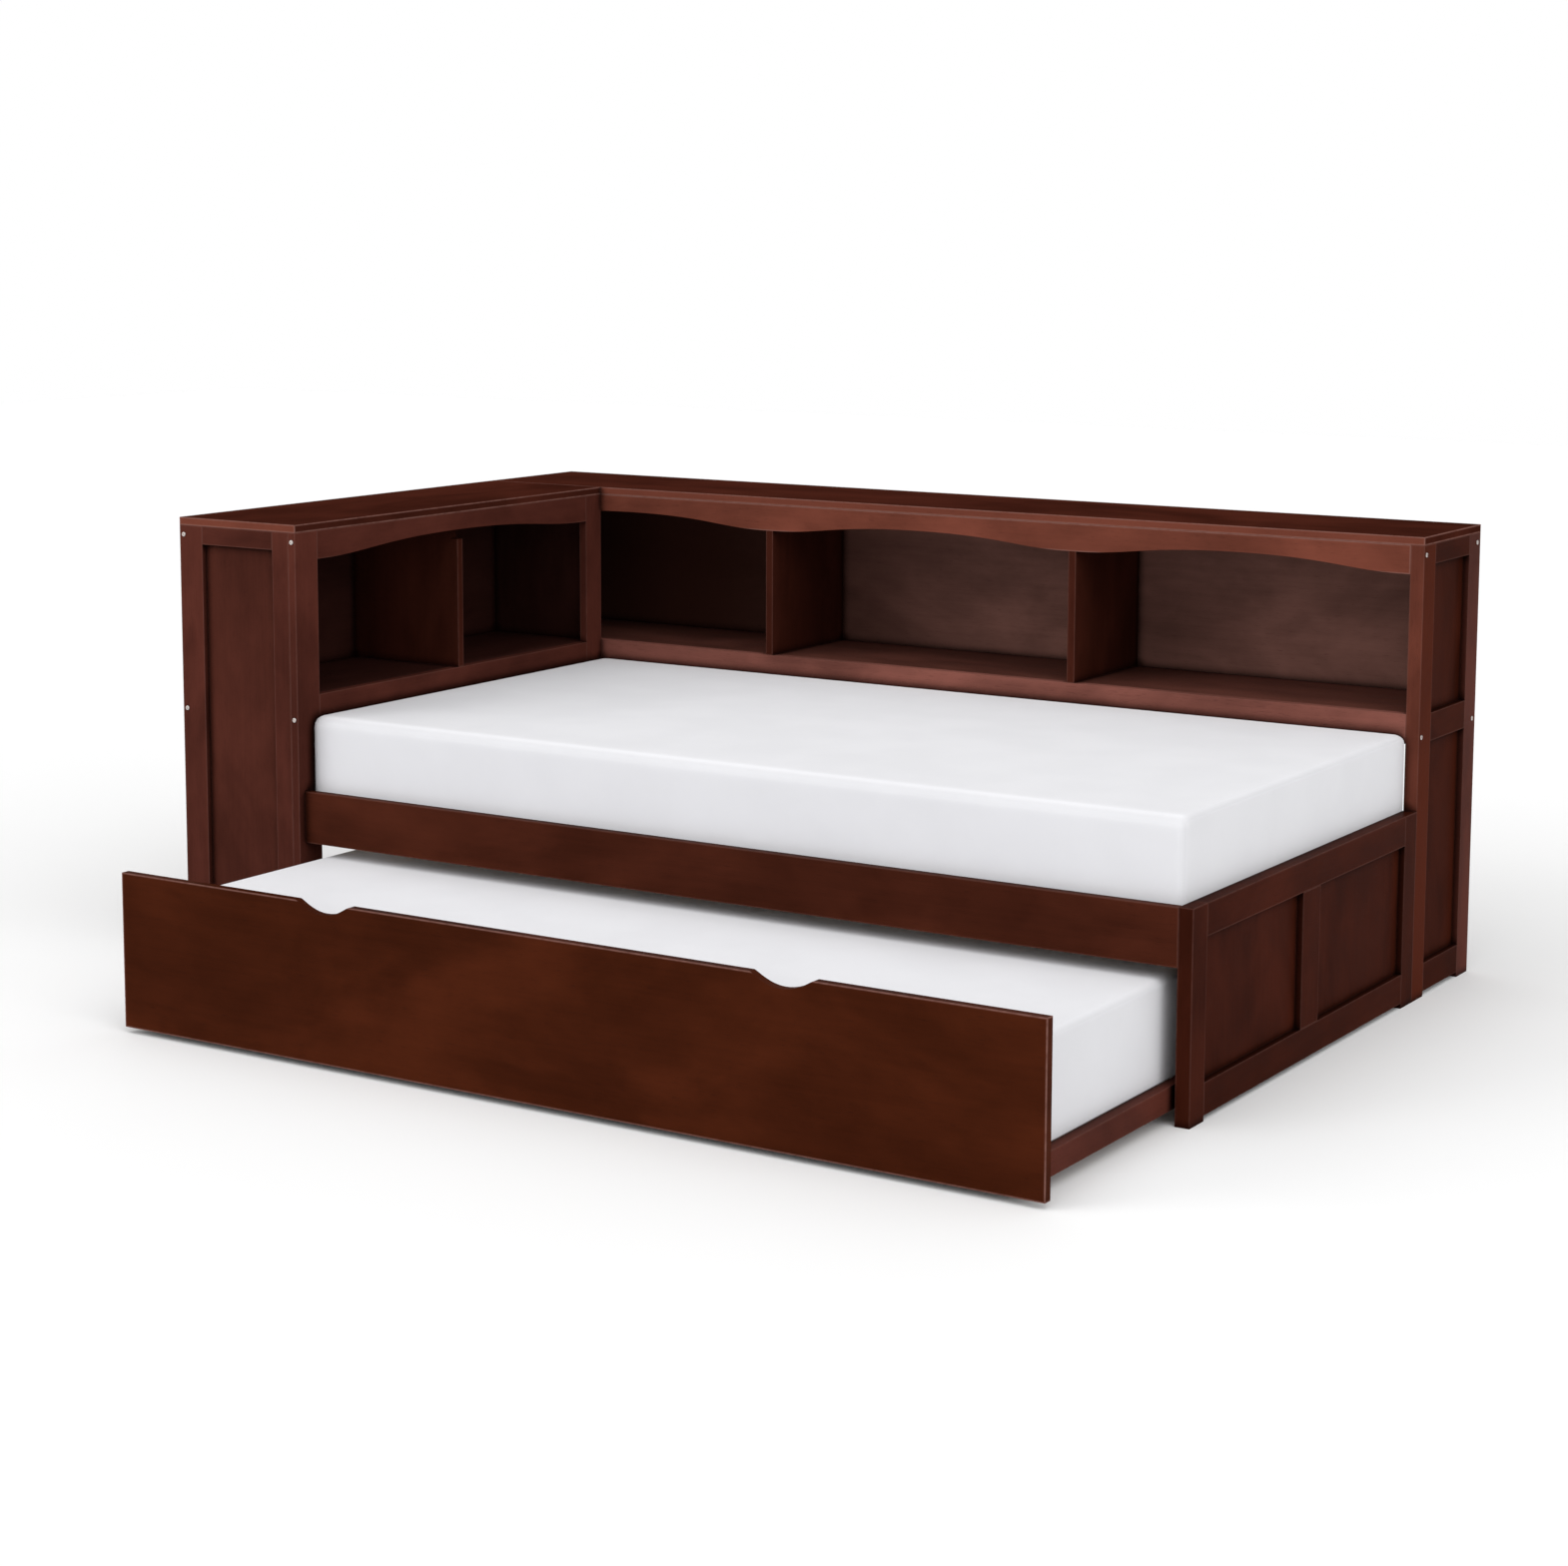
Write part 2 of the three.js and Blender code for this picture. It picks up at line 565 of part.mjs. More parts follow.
// A plate screwed inside the tray's side rail, with the axle and its head standing out of it.
// It is drawn with the plate's back at x = 0 and the axle on the x axis.
function bracketGeometry() {
  const plate = box(
    [0, PLATE_THICKNESS],
    [-PLATE_LENGTH / 2, PLATE_LENGTH / 2],
    [PLATE_BOTTOM - WHEEL_RADIUS, PLATE_TOP - WHEEL_RADIUS],
  );
  const axleEnd = PLATE_THICKNESS + WHEEL_WIDTH + 2 * WHEEL_SIDE_PLAY;
  const axle = new THREE.CylinderGeometry(AXLE_RADIUS, AXLE_RADIUS, axleEnd, AXLE_SIDES);
  axle.rotateZ(Math.PI / 2);
  axle.translate(JOIN_OVERLAP + axleEnd / 2, 0, 0);
  const head = new THREE.CylinderGeometry(
    AXLE_HEAD_RADIUS, AXLE_HEAD_RADIUS, AXLE_HEAD_THICKNESS, AXLE_SIDES,
  );
  head.rotateZ(Math.PI / 2);
  head.translate(axleEnd + AXLE_HEAD_THICKNESS / 2, 0, 0);
  return join([plate, axle, head]);
}

function caster(side, place, y) {
  const onLeft = side === 'left';
  const group = new THREE.Group();
  const railFace = onLeft ? TRAY_LEFT + TRAY_BOARD + GAP : TRAY_RIGHT - TRAY_BOARD - GAP;
  group.position.set(railFace, y, WHEEL_RADIUS);
  group.rotation.z = onLeft ? 0 : Math.PI;
  const wheel = namedMesh(`${place}_${side}_wheel`, wheelGeometry(), wheelPlastic);
  wheel.position.x = PLATE_THICKNESS + WHEEL_SIDE_PLAY + WHEEL_WIDTH / 2;
  const bracket = namedMesh(`${place}_${side}_wheel_bracket`, bracketGeometry(), zincSteel);
  group.add(bracket, wheel);
  return group;
}

function trundle() {
  const railY = [PANEL_BACK_Y, TRAY_BACK];
  const railZ = [TRAY_BOTTOM, TRAY_TOP];
  const slatInset = TRAY_BOARD + TRAY_SLAT_INSET;
  const slatX = [TRAY_LEFT + slatInset, TRAY_RIGHT - slatInset];
  const slatY = [PANEL_BACK_Y + HALF_GAP, TRAY_BACK - TRAY_BOARD - GAP];
  const slatBottom = TRAY_TOP - TRAY_SLAT_THICKNESS;
  const middleX = (TRAY_LEFT + TRAY_RIGHT) / 2;
  const middleY = (PANEL_BACK_Y + TRAY_BACK) / 2;
  const group = new THREE.Group();
  group.position.y = -PULLED_OUT;
  group.add(
    trundleFront(),
    board('trundle_left_rail', caseWood, [TRAY_LEFT, TRAY_LEFT + TRAY_BOARD], railY, railZ),
    board('trundle_right_rail', caseWood, [TRAY_RIGHT - TRAY_BOARD, TRAY_RIGHT], railY, railZ),
    trundleRearRail(),
    namedMesh(
      'trundle_slats',
      slatMat(slatX, slatY, slatBottom, TRAY_SLAT_THICKNESS, TRAY_SLAT_COUNT),
      slatWood,
    ),
    board(
      'trundle_mattress', ticking,
      [middleX - TRUNDLE_MATTRESS_LENGTH / 2, middleX + TRUNDLE_MATTRESS_LENGTH / 2],
      [middleY - TRUNDLE_MATTRESS_WIDTH / 2, middleY + TRUNDLE_MATTRESS_WIDTH / 2],
      [TRAY_TOP, TRAY_TOP + TRUNDLE_MATTRESS_HEIGHT],
    ),
  );
  for (const side of ['left', 'right']) {
    group.add(caster(side, 'front', CASTER_FRONT));
    group.add(caster(side, 'rear', CASTER_BACK));
  }
  return group;
}

const group = new THREE.Group();
group.add(backBookcase(), sideBookcase(), footboard(), bedDeck(), trundle());
const frontmost = PANEL_FRONT_Y - PULLED_OUT;
group.position.set(-LENGTH / 2, -(DEPTH + frontmost) / 2, 0);

export default group;
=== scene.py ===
"""Trundle bed: the finishes, mattresses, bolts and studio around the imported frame."""
import json
import math
import random

import bmesh
import bpy
from mathutils import Matrix, Vector


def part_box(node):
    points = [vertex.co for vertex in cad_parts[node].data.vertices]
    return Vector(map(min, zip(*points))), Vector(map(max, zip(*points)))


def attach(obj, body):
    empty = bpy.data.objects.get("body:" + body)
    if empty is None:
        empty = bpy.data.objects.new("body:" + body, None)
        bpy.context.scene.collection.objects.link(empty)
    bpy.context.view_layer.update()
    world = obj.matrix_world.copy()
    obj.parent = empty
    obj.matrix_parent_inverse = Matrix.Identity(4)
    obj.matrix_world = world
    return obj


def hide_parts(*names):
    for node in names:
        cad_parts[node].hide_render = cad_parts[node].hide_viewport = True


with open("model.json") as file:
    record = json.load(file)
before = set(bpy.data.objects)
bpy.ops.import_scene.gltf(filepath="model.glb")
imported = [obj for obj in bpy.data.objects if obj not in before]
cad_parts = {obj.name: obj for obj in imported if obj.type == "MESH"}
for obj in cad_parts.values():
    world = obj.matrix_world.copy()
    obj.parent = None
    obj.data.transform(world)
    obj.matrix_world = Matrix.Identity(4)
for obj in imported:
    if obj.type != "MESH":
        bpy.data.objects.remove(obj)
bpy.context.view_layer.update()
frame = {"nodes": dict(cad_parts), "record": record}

NODES = frame["nodes"]

X, Y, Z = 0, 1, 2

# Camera, in metres and degrees
CAMERA_PLACE = (3.295, -5.097, 1.540)
CAMERA_TURN = 32.41
CAMERA_DOWN = 7.61
CAMERA_ROLL = 0.16
CAMERA_LENS = 71.9
CAMERA_SENSOR = 36.0
CAMERA_SHIFT_Y = -0.10

# Studio light
FLOOR_SIZE = 30.0
AMBIENT = 0.52
SUNS = (  # name, azimuth, elevation and spread in degrees, strength
    ("key", -44, 20, 35, 0.84),
    ("high", 0, 58, 70, 1.02),
    ("side_fill", 70, 35, 60, 1.14),
)

# Board edges
EDGE_RADIUS = 0.0016
FRONT_EDGE_RADIUS = 0.003
SOFT_EDGE_STEPS = 3
SHARP_ANGLE = math.radians(40)

# Mattresses
MATTRESS_CORNER = 0.024
MATTRESS_START_INSET = 0.003
MATTRESS_PRESSED_CUT = 0.013
MATTRESS_END_CUT = 0.005
MATTRESS_ROOM_AT_ENDS = 0.0022
MATTRESS_ROOM_BEHIND = 0.0055
MATTRESS_STEP = 0.020
MATTRESS_EDGE_STEPS = (0.0, 0.004, 0.009, 0.015, 0.022, 0.030)
MATTRESS_PRESSURE = 4.0
MATTRESS_MOVE_CAP = 0.007
MATTRESS_HELD_BELOW = 0.001
CLOTH_FRAMES = 20

# Connector bolts, in metres
BOLT_RADIUS = 0.0047
BOLT_HEIGHT = 0.0016
BOLT_SOCKET = 0.0023
BOLT_SIDES = 32
BOLT_HIGH = 0.881
BOLT_LOW = 0.525
BOLT_NEAR_EDGE = 0.0105
BOLT_REAR_EDGE = 0.017

# Linear base colours: the mean of each group of boards, and how far its figure strays from it. Besides
# the boards' own tones the groups hold painted light and shade: 'bright', 'lower' and 'backing' are
# lightened as painted light, 'post_side' and 'shade' darkened as painted shade
WOOD_TONES = {
    # painted light: the valance, lit from the front
    "bright": (0.150, 0.0430, 0.0270),
    # painted light: the lower rail, lightened where the mattress shades it
    "lower": (0.190, 0.0680, 0.0520),
    "post": (0.105, 0.0300, 0.0190),
    # painted shade: the sides of the front post
    "post_side": (0.070, 0.0140, 0.0060),
    "frame": (0.068, 0.0185, 0.0125),
    "top": (0.047, 0.0112, 0.0066),
    "panel": (0.060, 0.0165, 0.0108),
    "rail": (0.054, 0.0130, 0.0066),
    "foot": (0.040, 0.0085, 0.0043),
    "end": (0.034, 0.0072, 0.0036),
    "front": (0.048, 0.0102, 0.0036),
    # painted light: the back panel, lightened where it shows inside the bays
    "backing": (0.195, 0.0910, 0.0720),
    "shelf": (0.095, 0.0330, 0.0240),
    "divider": (0.045, 0.0110, 0.0065),
    # painted shade: the boards inside the side cubbies
    "shade": (0.028, 0.0090, 0.0068),
}
FIGURE_CONTRAST = 0.36

# How much the lacquer mirrors, by group
LACQUER_SPECULAR = 0.006
DULLED_SPECULAR = {"top": 0.0, "post": 0.0025, "end": 0.0025, "foot": 0.0035}

# Painted shade: the back panel's colour darkens towards the corner of the L, between these two places
CORNER_SHADE_SPAN = (-0.80, 0.10)
CORNER_SHADE_TONE = (0.046, 0.0160, 0.0110)

# Painted light and shade on the faces that look along one axis, both ways (0) or one way: the top
# boards' front and back faces lighter, the front post's sides darker, and the back panel and the outer
# side panel keep their lightened or darkened tone only on their inner faces
LIT_AND_SHADED_FACE_TONES = {
    "top": (Y, 0, "bright"),
    "post": (X, 0, "post_side"),
    "backing": (Y, 1, "panel"),
    "shade": (X, -1, "panel"),
}

# Lightened edges, their colour, and how much and how far in on each kind of board: on most boards the
# stain thinned along the edges together with a painted highlight, on the boards listed last a painted
# highlight only
WORN_EDGE_AND_HIGHLIGHT = (0.200, 0.096, 0.078)
EDGE_WEAR_AND_HIGHLIGHT = 0.20
EDGE_WEAR_AND_HIGHLIGHT_WIDTH = 0.0026
PAINTED_EDGE_HIGHLIGHT = 0.78
PAINTED_EDGE_HIGHLIGHT_WIDTH = 0.0032
PAINTED_HIGHLIGHT_EDGES = ("back_top_board", "side_top_board", "back_valance", "trundle_front")

# Painted shade where boards meet and where other things close them in: how far out it reaches, in
# metres, how strong it is, its colour
PAINTED_SHADE_REACH = 0.022
PAINTED_SHADE_RAYS = 6
PAINTED_SHADE_STRENGTH = 0.93
PAINTED_SHADE_TONE = (0.0045, 0.0014, 0.0010)
PORE_TONE = (0.012, 0.004, 0.003)
PORE_STRENGTH = 0.45

# Linear base colours of the other materials
PINE_LIGHT = (0.62, 0.44, 0.25)
PINE_DARK = (0.43, 0.26, 0.12)
PINE_PATCH = (0.68, 0.52, 0.33)
# the mattress's sides, and its top lighter as painted light
SIDE_DARK = (0.692, 0.692, 0.714)
SIDE_LIGHT = (0.716, 0.716, 0.738)
LIT_TOP_DARK = (0.768, 0.768, 0.792)
LIT_TOP_LIGHT = (0.795, 0.795, 0.819)
KNIT_HOLES = (0.60, 0.60, 0.64)
# painted shade along the mattress's rounded edges
EDGE_SHADE_TONE = (0.60, 0.60, 0.62)
CASTER_ZINC = (0.55, 0.56, 0.58)
BOLT_NICKEL = (0.66, 0.60, 0.57)
NYLON = (0.014, 0.014, 0.015)
NYLON_SCUFFED = (0.040, 0.039, 0.038)
FLOOR_DARK = (0.955, 0.955, 0.955)
FLOOR_LIGHT = (0.975, 0.975, 0.975)

# ---------------------------------------------------------------- shader graph

class Graph:
    """Adds and joins the nodes of one material."""

    def __init__(self, name):
        self.material = bpy.data.materials.new(name)
        self.material.use_nodes = True
        self.tree = self.material.node_tree
        self.tree.nodes.clear()
        self.output = self.tree.nodes.new("ShaderNodeOutputMaterial")
        self.shader = self.tree.nodes.new("ShaderNodeBsdfPrincipled")
        self.tree.links.new(self.shader.outputs["BSDF"], self.output.inputs["Surface"])

    def node(self, kind, inputs=None, **settings):
        made = self.tree.nodes.new(kind)
        for key, value in settings.items():
            setattr(made, key, value)
        for key, value in (inputs or {}).items():
            self.feed(made.inputs[key], value)
        return made

    def feed(self, socket, value):
        if isinstance(value, bpy.types.NodeSocket):
            self.tree.links.new(value, socket)
        else:
            socket.default_value = value

    def set(self, **values):
        """Feeds the main shader's sockets; an underscore stands for a space."""
        for key, value in values.items():
            self.feed(self.shader.inputs[key.replace("_", " ")], value)

    def math(self, operation, a, b=0.0, clamp=False):
        return self.node("ShaderNodeMath", {0: a, 1: b}, operation=operation, use_clamp=clamp).outputs[0]

    def vector(self, operation, a, b=(0, 0, 0)):
        return self.node("ShaderNodeVectorMath", {0: a, 1: b}, operation=operation).outputs[0]

    def coords(self):
        return self.node("ShaderNodeTexCoord").outputs["Object"]

    def scaled(self, vector, scale):
        return self.node("ShaderNodeMapping", {"Vector": vector, "Scale": scale}).outputs["Vector"]

    def noise(self, vector, scale, detail, roughness, distortion=0.0):
        made = self.node("ShaderNodeTexNoise", {
            "Vector": vector, "Scale": scale, "Detail": detail,
            "Roughness": roughness, "Distortion": distortion,
        })
        return made.outputs["Fac"]

    def spread(self, value, low, high, to_low=0.0, to_high=1.0):
        """Maps low..high to to_low..to_high, clamped, with soft ends."""
        made = self.node("ShaderNodeMapRange", {
            "Value": value, "From Min": low, "From Max": high, "To Min": to_low, "To Max": to_high,
        }, interpolation_type="SMOOTHSTEP")
        return made.outputs["Result"]

    def mix(self, factor, a, b):
        made = self.node("ShaderNodeMix", {0: factor}, data_type="RGBA")
        self.feed(made.inputs[6], a)
        self.feed(made.inputs[7], b)
        return made.outputs[2]

    def bump(self, height, strength, distance, normal=None):
        inputs = {"Height": height, "Strength": strength, "Distance": distance}
        if normal is not None:
            inputs["Normal"] = normal
        return self.node("ShaderNodeBump", inputs).outputs["Normal"]


def shade_of(tone, factor):
    return tuple(c * factor for c in WOOD_TONES[tone])


def rgba(colour):
    return (*colour, 1.0)


def stretched(axis, along, across):
    """A scale that differs along one axis."""
    return tuple(along if i == axis else across for i in range(3))


def edge_distance(g, coords, low, high):
    """How far a point on a box's surface is from the box's nearest edge, in metres."""
    centre = (low + high) / 2
    half = (high - low) / 2
    away = g.vector("ABSOLUTE", g.vector("SUBTRACT", coords, tuple(centre)))
    inside = g.node("ShaderNodeSeparateXYZ", {0: g.vector("SUBTRACT", tuple(half), away)}).outputs
    smaller = g.math("MINIMUM", inside[0], inside[1])
    larger = g.math("MAXIMUM", inside[0], inside[1])
    return g.math("MAXIMUM", smaller, g.math("MINIMUM", larger, inside[2]))


# ---------------------------------------------------------------- materials

def wood_marks(g, shifted, grain):
    """The marks in stained wood, from the widest to the finest, drawn out along the grain."""
    def marks(along, across, *settings):
        return g.noise(g.scaled(shifted, stretched(grain, along, across)), 1.0, *settings)

    return {
        "blotch": marks(2.2, 5.0, 4.0, 0.55, 0.6),
        "cloud": marks(9.0, 16.0, 3.0, 0.5, 0.3),
        "streak": marks(2.5, 95.0, 6.0, 0.65, 0.4),
        "fibre": marks(14.0, 900.0, 3.0, 0.6),
        "pores": marks(38.0, 1300.0, 1.0, 0.5),
    }


def wood_figure(g, marks):
    """All but the pores together, from 0 to 1."""
    figure = g.math("ADD", g.math("MULTIPLY", g.spread(marks["blotch"], 0.36, 0.66), 0.56),
                    g.math("MULTIPLY", g.spread(marks["cloud"], 0.32, 0.68), 0.22))
    figure = g.math("ADD", figure, g.math("MULTIPLY", g.spread(marks["streak"], 0.25, 0.75), 0.16))
    return g.math("ADD", figure, g.math("MULTIPLY", marks["fibre"], 0.10), clamp=True)


def stain_colour(g, coords, figure, tone, board_tone):
    """The stain's colour, with the painted light and shade that some boards get on one face, and painted
    shade towards one end of the back panel.
    """
    dark = rgba(shade_of(tone, board_tone * (1 - FIGURE_CONTRAST)))
    light = rgba(shade_of(tone, board_tone * (1 + FIGURE_CONTRAST)))
    colour = g.mix(figure, dark, light)
    # painted shade: the back panel darkens towards the corner of the L
    if tone == "backing":
        across = g.node("ShaderNodeSeparateXYZ", {0: coords}).outputs[X]
        colour = g.mix(g.spread(across, *CORNER_SHADE_SPAN), rgba(CORNER_SHADE_TONE), colour)
    # painted light and shade on the faces that look along one axis
    if tone in LIT_AND_SHADED_FACE_TONES:
        axis, way, face_tone = LIT_AND_SHADED_FACE_TONES[tone]
        normal = g.node("ShaderNodeTexCoord").outputs["Normal"]
        along = g.node("ShaderNodeSeparateXYZ", {0: normal}).outputs[axis]
        facing = g.math("MULTIPLY", along, way) if way else g.math("ABSOLUTE", along)
        face = g.mix(figure, rgba(shade_of(face_tone, 0.80)), rgba(shade_of(face_tone, 1.10)))
        colour = g.mix(g.spread(facing, 0.60, 0.95), colour, face)
    return colour


def wear_highlight_and_painted_shade(g, coords, shifted, box, wear_and_highlight, wear_and_highlight_width, colour):
    """Lightens a board's edges with thinned stain and a painted highlight, and paints shade where the
    board meets another.
    """
    from_edge = edge_distance(g, coords, *box)
    edge_breakup = g.noise(shifted, 55.0, 3.0, 0.6)
    wear_and_highlight_mask = g.spread(from_edge, wear_and_highlight_width * 0.3, wear_and_highlight_width, 1.0, 0.0)
    wear_and_highlight_mask = g.math("MULTIPLY", wear_and_highlight_mask, g.spread(edge_breakup, 0.25, 0.62, 0.55, 1.0))
    # lightens the edges: stain thinned there and a painted highlight
    colour = g.mix(g.math("MULTIPLY", wear_and_highlight_mask, wear_and_highlight), colour, rgba(WORN_EDGE_AND_HIGHLIGHT))
    # painted shade: darkens the colour where nearby surfaces close the board in
    recess = g.node("ShaderNodeAmbientOcclusion", {"Distance": PAINTED_SHADE_REACH}, samples=PAINTED_SHADE_RAYS)
    painted_shade_mask = g.spread(recess.outputs["AO"], 0.45, 0.92, 1.0, 0.0)
    return g.mix(g.math("MULTIPLY", painted_shade_mask, PAINTED_SHADE_STRENGTH), colour, rgba(PAINTED_SHADE_TONE))


def stained_wood(name, tone, grain, box, seed, wear_and_highlight, wear_and_highlight_width):
    """Cherry-stained hardwood under satin lacquer, its grain running along one axis."""
    g = Graph(name)
    rng = random.Random(seed)
    coords = g.coords()
    shifted = g.vector("ADD", coords, tuple(rng.uniform(-30, 30) for _ in range(3)))
    board_tone = rng.uniform(0.94, 1.06)

    marks = wood_marks(g, shifted, grain)
    colour = stain_colour(g, coords, wood_figure(g, marks), tone, board_tone)
    pore_mask = g.spread(marks["pores"], 0.66, 0.74)
    colour = g.mix(g.math("MULTIPLY", pore_mask, PORE_STRENGTH), colour, rgba(PORE_TONE))
    colour = wear_highlight_and_painted_shade(g, coords, shifted, box, wear_and_highlight, wear_and_highlight_width, colour)

    gloss = g.spread(marks["cloud"], 0.2, 0.8, 0.34, 0.42)
    g.set(Base_Color=colour, Roughness=g.math("ADD", gloss, g.math("MULTIPLY", pore_mask, 0.18)))
    specular = DULLED_SPECULAR.get(tone, LACQUER_SPECULAR)
    g.shader.inputs["Specular IOR Level"].default_value = specular
    streaks = g.math("MULTIPLY", marks["streak"], 0.5)
    relief = g.math("SUBTRACT", streaks, g.math("MULTIPLY", pore_mask, 0.8))
    g.set(Normal=g.bump(relief, 0.16, 0.0005))
    return g.material


def bare_pine(name, grain, seed):
    """Unfinished softwood for the slats."""
    g = Graph(name)
    rng = random.Random(seed)
    shifted = g.vector("ADD", g.coords(), tuple(rng.uniform(-20, 20) for _ in range(3)))
    rings = g.noise(g.scaled(shifted, stretched(grain, 1.6, 60.0)), 1.0, 5.0, 0.6, 0.8)
    patch = g.noise(shifted, 7.0, 2.0, 0.5)
    fibre = g.noise(g.scaled(shifted, stretched(grain, 20.0, 900.0)), 1.0, 2.0, 0.5)
    colour = g.mix(g.spread(rings, 0.35, 0.68), rgba(PINE_LIGHT), rgba(PINE_DARK))
    colour = g.mix(g.math("MULTIPLY", patch, 0.35), colour, rgba(PINE_PATCH))
    g.set(Base_Color=colour, Roughness=g.spread(fibre, 0.2, 0.8, 0.62, 0.80))
    g.set(Normal=g.bump(fibre, 0.25, 0.0004))
    return g.material


def mattress_knit(name, seed):
    """White knitted ticking: fine ribs crossed by stitches, its top lighter than its sides as painted
    light, and its rounded edges darker as painted shade.
    """
    g = Graph(name)
    rng = random.Random(seed)
    shifted = g.vector("ADD", g.coords(), tuple(rng.uniform(-5, 5) for _ in range(3)))
    soft = g.noise(shifted, 6.0, 3.0, 0.5)
    slub = g.noise(shifted, 420.0, 2.0, 0.6)
    shake = g.node("ShaderNodeTexNoise", {"Vector": shifted, "Scale": 60.0}).outputs["Color"]
    wobble = g.vector("ADD", shifted, g.scaled(shake, (0.0006, 0.0006, 0.0006)))
    ribs = [
        g.node("ShaderNodeTexWave", {"Vector": wobble, "Scale": 170.0},
               wave_type="BANDS", bands_direction=direction).outputs["Fac"]
        for direction in ("X", "Y", "Z")
    ]
    crossings = [g.math("MULTIPLY", ribs[a], ribs[b]) for a, b in ((X, Y), (Y, Z), (X, Z))]
    knit = g.math("MAXIMUM", g.math("MAXIMUM", crossings[0], crossings[1]), crossings[2])
    turned = g.vector("ABSOLUTE", g.node("ShaderNodeTexCoord").outputs["Normal"])
    sides = g.node("ShaderNodeSeparateXYZ", {0: turned}).outputs
    mottle = g.spread(soft, 0.3, 0.7)
    sides_colour = g.mix(mottle, rgba(SIDE_DARK), rgba(SIDE_LIGHT))
    panel = g.mix(mottle, rgba(LIT_TOP_DARK), rgba(LIT_TOP_LIGHT))
    # painted light: the top faces lighter than the sides
    colour = g.mix(g.spread(sides[2], 0.45, 0.95), sides_colour, panel)
    holes = g.math("MULTIPLY", g.spread(knit, 0.05, 0.8, 1.0, 0.0), 0.10)
    colour = g.mix(holes, colour, rgba(KNIT_HOLES))
    # painted shade: darkens the rounded edges between the faces, where the lights add up
    squareness = g.math("MAXIMUM", sides[0], g.math("MAXIMUM", sides[1], sides[2]))
    colour = g.mix(g.spread(squareness, 0.71, 1.0, 0.42, 0.0), colour, rgba(EDGE_SHADE_TONE))
    g.set(Base_Color=colour, Roughness=g.spread(slub, 0.2, 0.8, 0.82, 0.94))
    g.shader.inputs["Sheen Weight"].default_value = 0.12
    g.shader.inputs["Sheen Roughness"].default_value = 0.5
    g.shader.inputs["Specular IOR Level"].default_value = 0.25
    fine = g.bump(knit, 0.35, 0.0004)
    g.set(Normal=g.bump(slub, 0.12, 0.0003, fine))
    return g.material


def brushed_metal(name, colour, roughness):
    """Plated steel with fine random brushing and a few dull spots."""
    g = Graph(name)
    coords = g.coords()
    scratch = g.noise(g.scaled(coords, (300.0, 4000.0, 4000.0)), 1.0, 2.0, 0.5)
    dull = g.noise(coords, 260.0, 3.0, 0.6)
    darker = tuple(c * 0.72 for c in colour)
    g.set(Base_Color=g.mix(g.spread(dull, 0.35, 0.7), rgba(colour), rgba(darker)))
    g.set(Roughness=g.spread(scratch, 0.2, 0.8, roughness - 0.07, roughness + 0.12))
    g.shader.inputs["Metallic"].default_value = 1.0
    g.set(Normal=g.bump(scratch, 0.08, 0.0001))
    return g.material


def moulded_plastic(name):
    """Black moulded nylon with a fine grain and scuffs on the tread."""
    g = Graph(name)
    coords = g.coords()
    grain = g.noise(coords, 1900.0, 2.0, 0.5)
    scuff = g.noise(coords, 150.0, 4.0, 0.6)
    g.set(Base_Color=g.mix(g.spread(scuff, 0.45, 0.75), rgba(NYLON), rgba(NYLON_SCUFFED)))
    g.set(Roughness=g.spread(scuff, 0.3, 0.8, 0.42, 0.66))
    g.set(Normal=g.bump(grain, 0.15, 0.0002))
    return g.material


def studio_floor(name):
    g = Graph(name)
    cloud = g.noise(g.coords(), 1.5, 2.0, 0.5)
    g.set(Base_Color=g.mix(cloud, rgba(FLOOR_DARK), rgba(FLOOR_LIGHT)), Roughness=0.7)
    g.shader.inputs["Specular IOR Level"].default_value = 0.2
    return g.material


# ---------------------------------------------------------------- CAD boards

def grain_axis(node, low, high):
    size = high - low
    if node.endswith("_panel") and node not in ("back_panel", "side_outer_panel"):
        return Z
    return max(range(3), key=lambda axis: size[axis])


def wood_tone(node, slot):
    """Which group of boards a node belongs to."""
    if slot == "cherry_front":
        return "front"
    if node.endswith("top_board"):
        return "top"
    # painted light: the valance
    if node == "back_valance":
        return "bright"
    # painted light: the lower rail
    if node == "back_lower_rail":
        return "lower"
    # the front post, with painted shade on its sides
    if node == "right_end_front_post":
        return "post"
    if node == "back_shelf":
        return "shelf"
    if node.endswith("divider"):
        return "divider"
    # painted shade: the boards inside the side cubbies
    if node in ("side_outer_panel", "side_shelf", "side_rear_end"):
        return "shade"
    if node == "front_rail":
        return "rail"
    if node.startswith("footboard"):
        return "foot"
    if node.startswith("right_end") and not node.endswith("rear_post"):
        return "end"
    # the back panel's tone is lightened as painted light
    return {"cherry_frame": "frame", "cherry_panel": "panel", "cherry_backing": "backing"}[slot]


def assign(piece, material):
    piece.data.materials.clear()
    piece.data.materials.append(material)


def ease_edges(piece, radius):
    """Rounds a board's sharp edges without touching its mesh."""
    bevel = piece.modifiers.new("eased_edges", "BEVEL")
    bevel.width = radius
    bevel.segments = SOFT_EDGE_STEPS
    bevel.limit_method = "ANGLE"
    bevel.angle_limit = SHARP_ANGLE
    bevel.harden_normals = True


